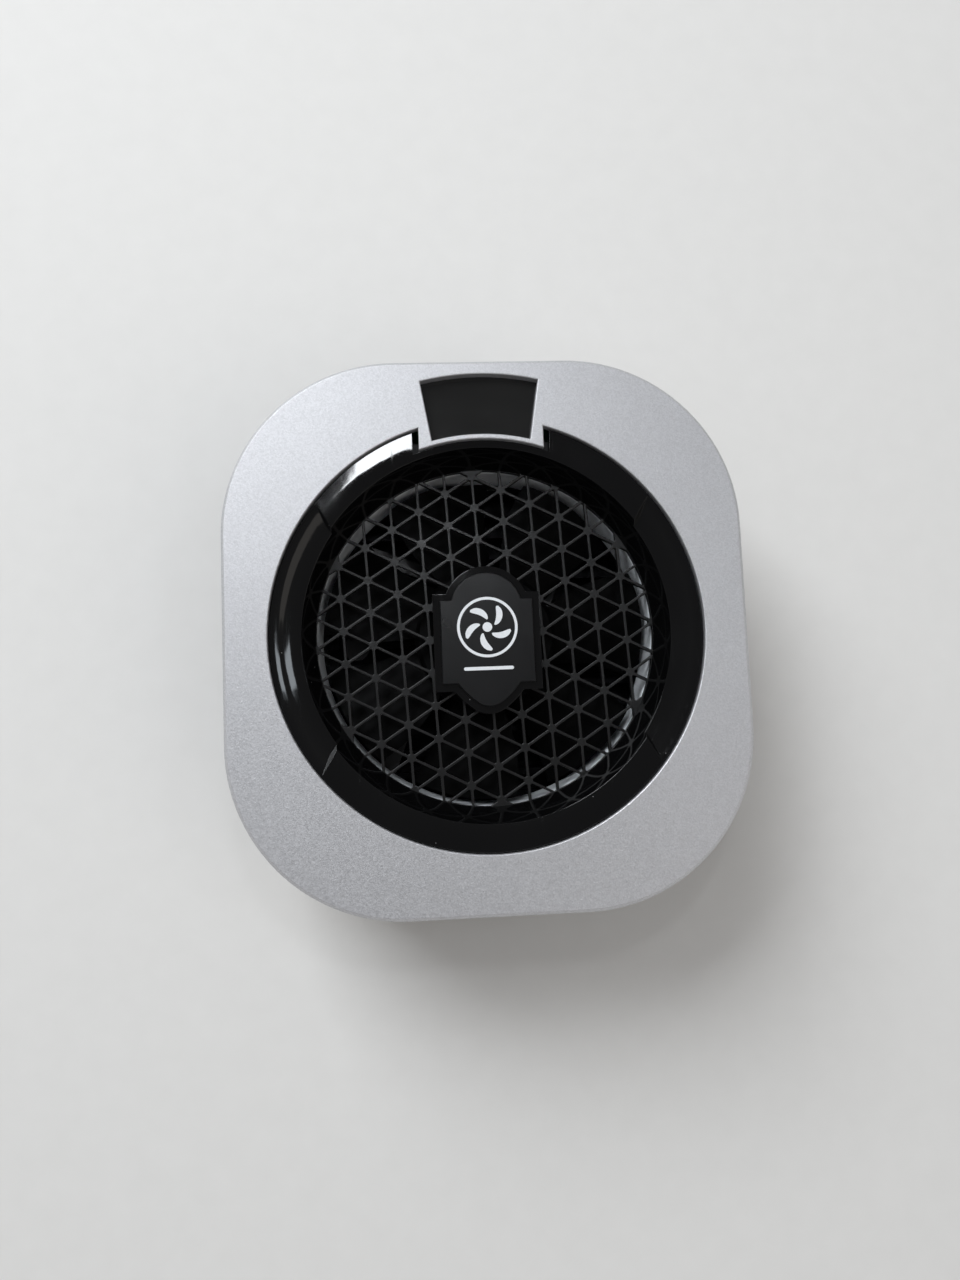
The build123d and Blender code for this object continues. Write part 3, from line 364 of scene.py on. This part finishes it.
def smoked(name):
    """Smoked window over a dark display: glossy, nearly black, with a faint sheen of wipe marks."""
    wipe_size = 3 * MM
    wipe_stretch = (0.3, 1, 1)
    wipe_turn = 0.4
    wipe_gloss = (0.1, 0.2)
    glass_colours = ((0.008, 0.008, 0.0078), (0.011, 0.011, 0.0106))
    ripple_size = 4 * MM
    ripple_depth = 0.003 * MM
    material, tree, shader = start_material(name, IOR=1.45)
    wipe = noise(tree, wipe_size, detail=4, stretch=wipe_stretch, turn=wipe_turn)
    tinted(tree, shader, wipe, glass_colours)
    roughened(tree, shader, wipe, wipe_gloss)
    bumped(tree, shader, [(noise(tree, ripple_size, detail=1), ripple_depth)])
    return material


def ink(name):
    """White screen ink: slightly thin in places, with a dry, fine surface."""
    cover_size = 0.35 * MM
    cover_depth = 0.004 * MM
    ink_colours = ((0.62, 0.64, 0.66), (0.8, 0.82, 0.84))
    material, tree, shader = start_material(name, Roughness=0.55)
    cover = noise(tree, cover_size, detail=3)
    tinted(tree, shader, cover, ink_colours)
    bumped(tree, shader, [(cover, cover_depth)])
    return material


def shown(tree):
    """One for rays that show a surface, to the camera or in gloss and glass, else zero."""
    path = add(tree, "ShaderNodeLightPath")
    share = path.outputs["Is Camera Ray"]
    for kind in ("Is Glossy Ray", "Is Transmission Ray"):
        share = combined(tree, "MAXIMUM", share, path.outputs[kind])
    return share


def floor_finish(name):
    """Plain pale floor with a barely visible grain, which fades to the background's tone far off."""
    grain_size = 4 * MM
    floor_colours = ((0.7, 0.69, 0.67), (0.74, 0.73, 0.71))
    fade_distances = (0.13, 0.36)
    material, tree, shader = start_material(name, Roughness=0.7)
    tinted(tree, shader, noise(tree, grain_size, detail=4), floor_colours)
    distance = add(tree, "ShaderNodeVectorMath", operation="LENGTH")
    tree.links.new(place(tree), distance.inputs[0])
    far = ranged(tree, distance.outputs["Value"], fade_distances)
    haze = add(tree, "ShaderNodeEmission", Color=(*background_tone, 1))
    both = add(tree, "ShaderNodeMixShader")
    tree.links.new(combined(tree, "MULTIPLY", far, shown(tree)), both.inputs["Fac"])
    tree.links.new(shader.outputs["BSDF"], both.inputs[1])
    tree.links.new(haze.outputs["Emission"], both.inputs[2])
    output = next(node for node in tree.nodes if node.type == "OUTPUT_MATERIAL")
    tree.links.new(both.outputs["Shader"], output.inputs["Surface"])
    return material


# Moulded plastic, rubber, foam, ferrite and ceramic; the size and depth of the grain and the radius
# of the edges are in mm
moulded_looks = {
    "satin_black": dict(
        colour=(0.004, 0.004, 0.0044), roughness=0.32, grain=0.12, depth=0.002, edge=0.08, IOR=1.36
    ),
    "matte_black": dict(
        colour=(0.0035, 0.0035, 0.0037), roughness=0.36, grain=0.15, depth=0.002, edge=0.17, IOR=1.45
    ),
    "shell_black": dict(
        colour=(0.02, 0.02, 0.021), roughness=0.55, grain=0.22, depth=0.02, edge=0.15
    ),
    "blade_black": dict(
        colour=(0.0015, 0.0015, 0.0016), roughness=0.55, grain=0.3, depth=0.004, edge=0.08, IOR=1.15
    ),
    "soft_black": dict(
        colour=(0.022, 0.022, 0.023), roughness=0.75, grain=0.3, depth=0.01, edge=0.1
    ),
    "foam_black": dict(colour=(0.03, 0.03, 0.03), roughness=0.9, grain=0.35, depth=0.09),
    "sensor_black": dict(colour=(0.02, 0.02, 0.02), roughness=0.25, grain=0.8, depth=0.01),
    "tongue_black": dict(colour=(0.015, 0.015, 0.016), roughness=0.4, grain=0.2, depth=0.004),
    "chip_black": dict(colour=(0.03, 0.03, 0.032), roughness=0.5, grain=0.12, depth=0.006),
    "display_black": dict(colour=(0.012, 0.012, 0.014), roughness=0.3, grain=0.4, depth=0.002),
    "switch_grey": dict(colour=(0.12, 0.12, 0.125), roughness=0.45, grain=0.2, depth=0.006),
    "white_plastic": dict(colour=(0.72, 0.72, 0.7), roughness=0.4, grain=0.3, depth=0.005),
    "lamp_white": dict(colour=(0.7, 0.68, 0.5), roughness=0.3, grain=0.3, depth=0.005),
    "ferrite": dict(colour=(0.045, 0.045, 0.05), roughness=0.6, grain=0.2, depth=0.012),
    "module_ceramic": dict(colour=(0.78, 0.78, 0.77), roughness=0.6, grain=0.15, depth=0.006),
}

# Bare metals, with the way that their lines run; the lines follow Y where none is given
metal_looks = {
    "screw_steel": dict(colour=(0.06, 0.06, 0.062), roughness=0.35),
    "bearing_bronze": dict(colour=(0.6, 0.42, 0.22), roughness=0.45, along=even),
    "core_steel": dict(colour=(0.4, 0.41, 0.43), roughness=0.42, along=along_xy),
    "plate_aluminium": dict(colour=(0.78, 0.79, 0.81), roughness=0.3, edge=0.15),
    "pellet_grey": dict(colour=(0.34, 0.35, 0.37), roughness=0.5, along=even),
    "fin_black": dict(colour=(0.012, 0.012, 0.013), roughness=0.5, along=along_x),
    "magnet_nickel": dict(colour=(0.66, 0.64, 0.6), roughness=0.2, along=even),
    "socket_steel": dict(colour=(0.62, 0.63, 0.65), roughness=0.28, along=(1, 0.05, 1)),
}

finishes = {
    "silver_paint": flake_paint("silver_paint", (0.52, 0.52, 0.535)),
    "button_silver": flake_paint("button_silver", (0.5, 0.5, 0.515)),
    "smoked_window": smoked("smoked_window"),
    "gloss_black": gloss_black("gloss_black"),
    "milky_guide": milky("milky_guide"),
    "board_green": board("board_green"),
    "winding_copper": wound("winding_copper"),
}
for name, look in moulded_looks.items():
    finishes[name] = moulded(name, **look)
for name, look in metal_looks.items():
    finishes[name] = metal(name, **look)


# Smooth shading over the facets, with creases kept where faces meet at an angle

crease_angle = math.radians(22)
merge_distance = 0.0005 * MM


def crease_nodes():
    """Joins split vertices, shades smooth and keeps edges sharper than the crease angle."""
    tree = bpy.data.node_groups.new("crease", "GeometryNodeTree")
    tree.interface.new_socket("Geometry", in_out="INPUT", socket_type="NodeSocketGeometry")
    tree.interface.new_socket("Geometry", in_out="OUTPUT", socket_type="NodeSocketGeometry")
    start = add(tree, "NodeGroupInput")
    end = add(tree, "NodeGroupOutput")
    merge = add(tree, "GeometryNodeMergeByDistance", Distance=merge_distance)
    faces = add(tree, "GeometryNodeSetShadeSmooth", domain="FACE")
    edges = add(tree, "GeometryNodeSetShadeSmooth", domain="EDGE", Shade_Smooth=False)
    angle = add(tree, "GeometryNodeInputMeshEdgeAngle")
    sharp = add(tree, "FunctionNodeCompare", operation="GREATER_THAN")
    sharp.inputs[1].default_value = crease_angle
    tree.links.new(start.outputs[0], merge.inputs["Geometry"])
    tree.links.new(merge.outputs["Geometry"], faces.inputs["Geometry"])
    tree.links.new(faces.outputs["Geometry"], edges.inputs["Geometry"])
    tree.links.new(angle.outputs["Unsigned Angle"], sharp.inputs[0])
    tree.links.new(sharp.outputs["Result"], edges.inputs["Selection"])
    tree.links.new(edges.outputs["Geometry"], end.inputs[0])
    return tree


crease = crease_nodes()
slot_of = {part["node"]: part["material_slot"] for part in frame["record"]["subparts"]}
for name, obj in nodes.items():
    for slot in obj.material_slots:
        slot.material = finishes[slot_of[name]]
    obj.modifiers.new("crease", "NODES").node_group = crease


# Printed symbol on the badge: a plain fan of swirled blades in a ring, over a bar

badge_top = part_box("badge_plate")[1].z
symbol_centre = Vector((0, 0.9 * MM))
ring_outer = 3.9 * MM
ring_inner = 3.55 * MM
blade_tip = 3.1 * MM
blade_root = 0.95 * MM
blade_half_width = 0.78 * MM
blade_swirl = 0.75
blade_swell = 0.6
blade_roundness = 4
blade_steps = 16
symbol_hub = 0.62 * MM
symbol_blades = 5
circle_steps = 72
bar_half = 3.2 * MM
bar_rise = 0.22 * MM
bar_drop = 5.3 * MM
ink_thickness = 0.02 * MM


def add_sheet(mesh, outer, inner=()):
    """Adds a printed sheet to the mesh: a closed outline, or the strip between it and an inner one."""
    outlines = [outline for outline in (outer, inner) if outline]
    rims = []
    for z in (badge_top, badge_top + ink_thickness):
        rims.append([[mesh.verts.new((x, y, z)) for x, y in outline] for outline in outlines])
    under, over = rims
    for low_rim, high_rim in zip(under, over):
        for i in range(len(low_rim)):
            after = (i + 1) % len(low_rim)
            mesh.faces.new((low_rim[i], low_rim[after], high_rim[after], high_rim[i]))
    for rim in rims:
        if inner:
            for i in range(len(outer)):
                after = (i + 1) % len(outer)
                mesh.faces.new((rim[0][i], rim[0][after], rim[1][after], rim[1][i]))
        else:
            mesh.faces.new(rim[0])


def around_symbol(radius, angle):
    """A point at a radius and an angle about the symbol's centre."""
    x = symbol_centre.x + radius * math.cos(angle)
    y = symbol_centre.y + radius * math.sin(angle)
    return (x, y)


def circle(radius):
    """A circle about the symbol's centre."""
    return [around_symbol(radius, 2 * pi * step / circle_steps) for step in range(circle_steps)]


def swirled_blade(start):
    """A blade that swirls as it leaves the hub, widest near its rounded tip."""
    sides = ([], [])
    for step in range(blade_steps + 1):
        share = step / blade_steps
        radius = blade_root + (blade_tip - blade_root) * share
        rounding = math.sqrt(1 - share**blade_roundness)
        half_angle = blade_half_width * share**blade_swell * rounding / radius
        middle = start + blade_swirl * share
        sides[0].append(around_symbol(radius, middle - half_angle))
        sides[1].append(around_symbol(radius, middle + half_angle))
    way_back = sides[1][-2:0:-1]  # without the tip and the root, which both sides share
    return sides[0] + way_back


def rounded_bar(middle_y, half_length, half_height):
    """A level bar with round ends."""
    reach = half_length - half_height
    points = []
    for step in range(circle_steps):
        angle = 2 * pi * step / circle_steps
        x = math.copysign(reach, math.cos(angle)) + half_height * math.cos(angle)
        points.append((x, middle_y + half_height * math.sin(angle)))
    return points


ink_mesh = bmesh.new()
add_sheet(ink_mesh, circle(ring_outer), circle(ring_inner))
add_sheet(ink_mesh, circle(symbol_hub))
for number in range(symbol_blades):
    add_sheet(ink_mesh, swirled_blade(pi / 2 + 2 * pi * number / symbol_blades))
add_sheet(ink_mesh, rounded_bar(symbol_centre.y - bar_drop, bar_half, bar_rise))
bmesh.ops.recalc_face_normals(ink_mesh, faces=ink_mesh.faces)
ink_data = bpy.data.meshes.new("badge_symbol")
ink_mesh.to_mesh(ink_data)
ink_mesh.free()
ink_data.materials.append(ink("white_ink"))
badge_symbol = bpy.data.objects.new("badge_symbol", ink_data)
scene.collection.objects.link(badge_symbol)
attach(badge_symbol, "housing")


# Camera at the photograph's place and lens, fitted to the body's outline

tilt_x = math.radians(-5.47)
tilt_y = math.radians(3.59)
roll = math.radians(2.32)
shift_x = 1.17 * MM
shift_y = 1.06 * MM
camera_distance = 120.08 * MM
nearest_seen = 1 * MM
lens_length_mm = 27.0
film_width_mm = 36.0

tilt = Matrix.Rotation(tilt_x, 3, "X") @ Matrix.Rotation(tilt_y, 3, "Y")
object_to_view = tilt @ Matrix.Rotation(roll, 3, "Z")
view_to_object = object_to_view.transposed()
top_middle = Vector((0, 0, body_height))
camera_place = view_to_object @ Vector((-shift_x, -shift_y, camera_distance)) + top_middle
camera_data = bpy.data.cameras.new("camera")
camera_data.lens = lens_length_mm
camera_data.sensor_width = film_width_mm
camera_data.clip_start = nearest_seen
camera = bpy.data.objects.new("camera", camera_data)
camera.matrix_world = Matrix.Translation(camera_place) @ view_to_object.to_4x4()
scene.collection.objects.link(camera)
scene.camera = camera


# Floor

floor_half = 3.0
corner_signs = ((-1, -1), (1, -1), (1, 1), (-1, 1))
floor_corners = [(x * floor_half, y * floor_half, 0) for x, y in corner_signs]
floor_mesh = bpy.data.meshes.new("floor")
floor_mesh.from_pydata(floor_corners, [], [(0, 1, 2, 3)])
floor_mesh.materials.append(floor_finish("pale_floor"))
floor = bpy.data.objects.new("floor", floor_mesh)
scene.collection.objects.link(floor)


# Lamps: a large window at the upper left, a weak fill from the room, and two small cards that the
# polished ring mirrors

daylight = (0.93, 0.965, 1.0)
lamplight = (1.0, 0.94, 0.87)
blue_sky = (0.85, 0.93, 1.0)


def area_light(name, spot, size, radiance, colour):
    """A rectangular lamp that faces the middle of the top; its power follows from its radiance."""
    width, height = size
    data = bpy.data.lights.new(name, "AREA")
    data.shape = "RECTANGLE"
    data.size = width
    data.size_y = height
    data.energy = radiance * pi * width * height
    data.color = colour
    lamp = bpy.data.objects.new(name, data)
    lamp.location = spot
    lamp.rotation_euler = (top_middle - Vector(spot)).to_track_quat("-Z", "Y").to_euler()
    lamp.visible_camera = False
    scene.collection.objects.link(lamp)


area_light(
    "window_light", spot=(-0.385, 0.565, 0.585), size=(0.5, 0.5), radiance=9.9, colour=daylight
)
area_light("room_light", spot=(0.7, -0.45, 0.8), size=(0.9, 0.9), radiance=0.8, colour=lamplight)
area_light(
    "ring_card", spot=(-0.003, 0.047, 0.2), size=(0.013, 0.013), radiance=40.0, colour=daylight
)
area_light("side_card", spot=(0.28, 0.1, 0.6), size=(0.05, 0.08), radiance=8.0, colour=blue_sky)


# Sky: pale at the horizon and darkest overhead. A rise is the height of a direction one unit long.

horizon_rise = (0.0, 0.25)
overhead_rise = (0.1, 1.0)
low_sky = (0.5, 0.5, 0.505)
high_sky = (0.17, 0.17, 0.175)

world = bpy.data.worlds.new("studio")
scene.world = world
world.use_nodes = True
sky = world.node_tree
sky.nodes.clear()
direction = add(sky, "ShaderNodeTexCoord")
parts = add(sky, "ShaderNodeSeparateXYZ")
sky.links.new(direction.outputs["Generated"], parts.inputs["Vector"])
overhead = mixed(sky, ranged(sky, parts.outputs["Z"], overhead_rise), low_sky, high_sky)
above_horizon = ranged(sky, parts.outputs["Z"], horizon_rise)
glow = mixed(sky, above_horizon, background_tone, overhead)
background = add(sky, "ShaderNodeBackground", Strength=1.0)
sky.links.new(glow, background.inputs["Color"])
sky_output = add(sky, "ShaderNodeOutputWorld")
sky.links.new(background.outputs["Background"], sky_output.inputs["Surface"])
